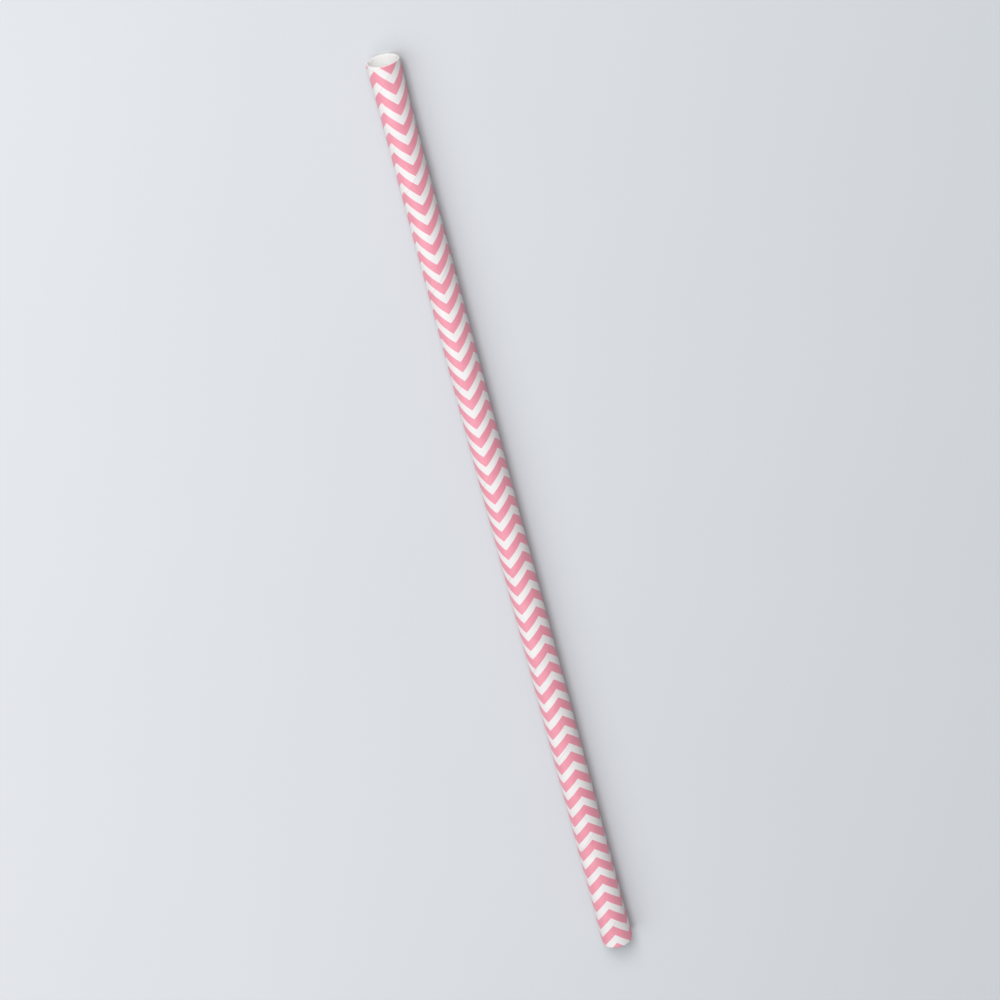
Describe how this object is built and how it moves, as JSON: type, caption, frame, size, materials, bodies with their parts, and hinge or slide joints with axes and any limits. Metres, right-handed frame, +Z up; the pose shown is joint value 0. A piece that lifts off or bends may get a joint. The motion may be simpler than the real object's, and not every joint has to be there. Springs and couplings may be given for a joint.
{
  "type": "paper drinking straw",
  "caption": "Straight paper drinking straw with a pink and white zigzag print, open at both square-cut ends, for drinks and party tables.",
  "frame": {"origin": "on the surface that the straw lies on, under the middle of its length", "axes": "+X along the straw towards its more flattened mouth, +Y across it, +Z up from the surface that it lies on"},
  "size_m": [0.197, 0.0064, 0.0059],
  "materials": {
    "printed_paper": "matte white paper printed with pink zigzag rows, plain white inside"
  },
  "bodies": {
    "root": {"straw_tube": "printed_paper"}
  },
  "joints": []
}
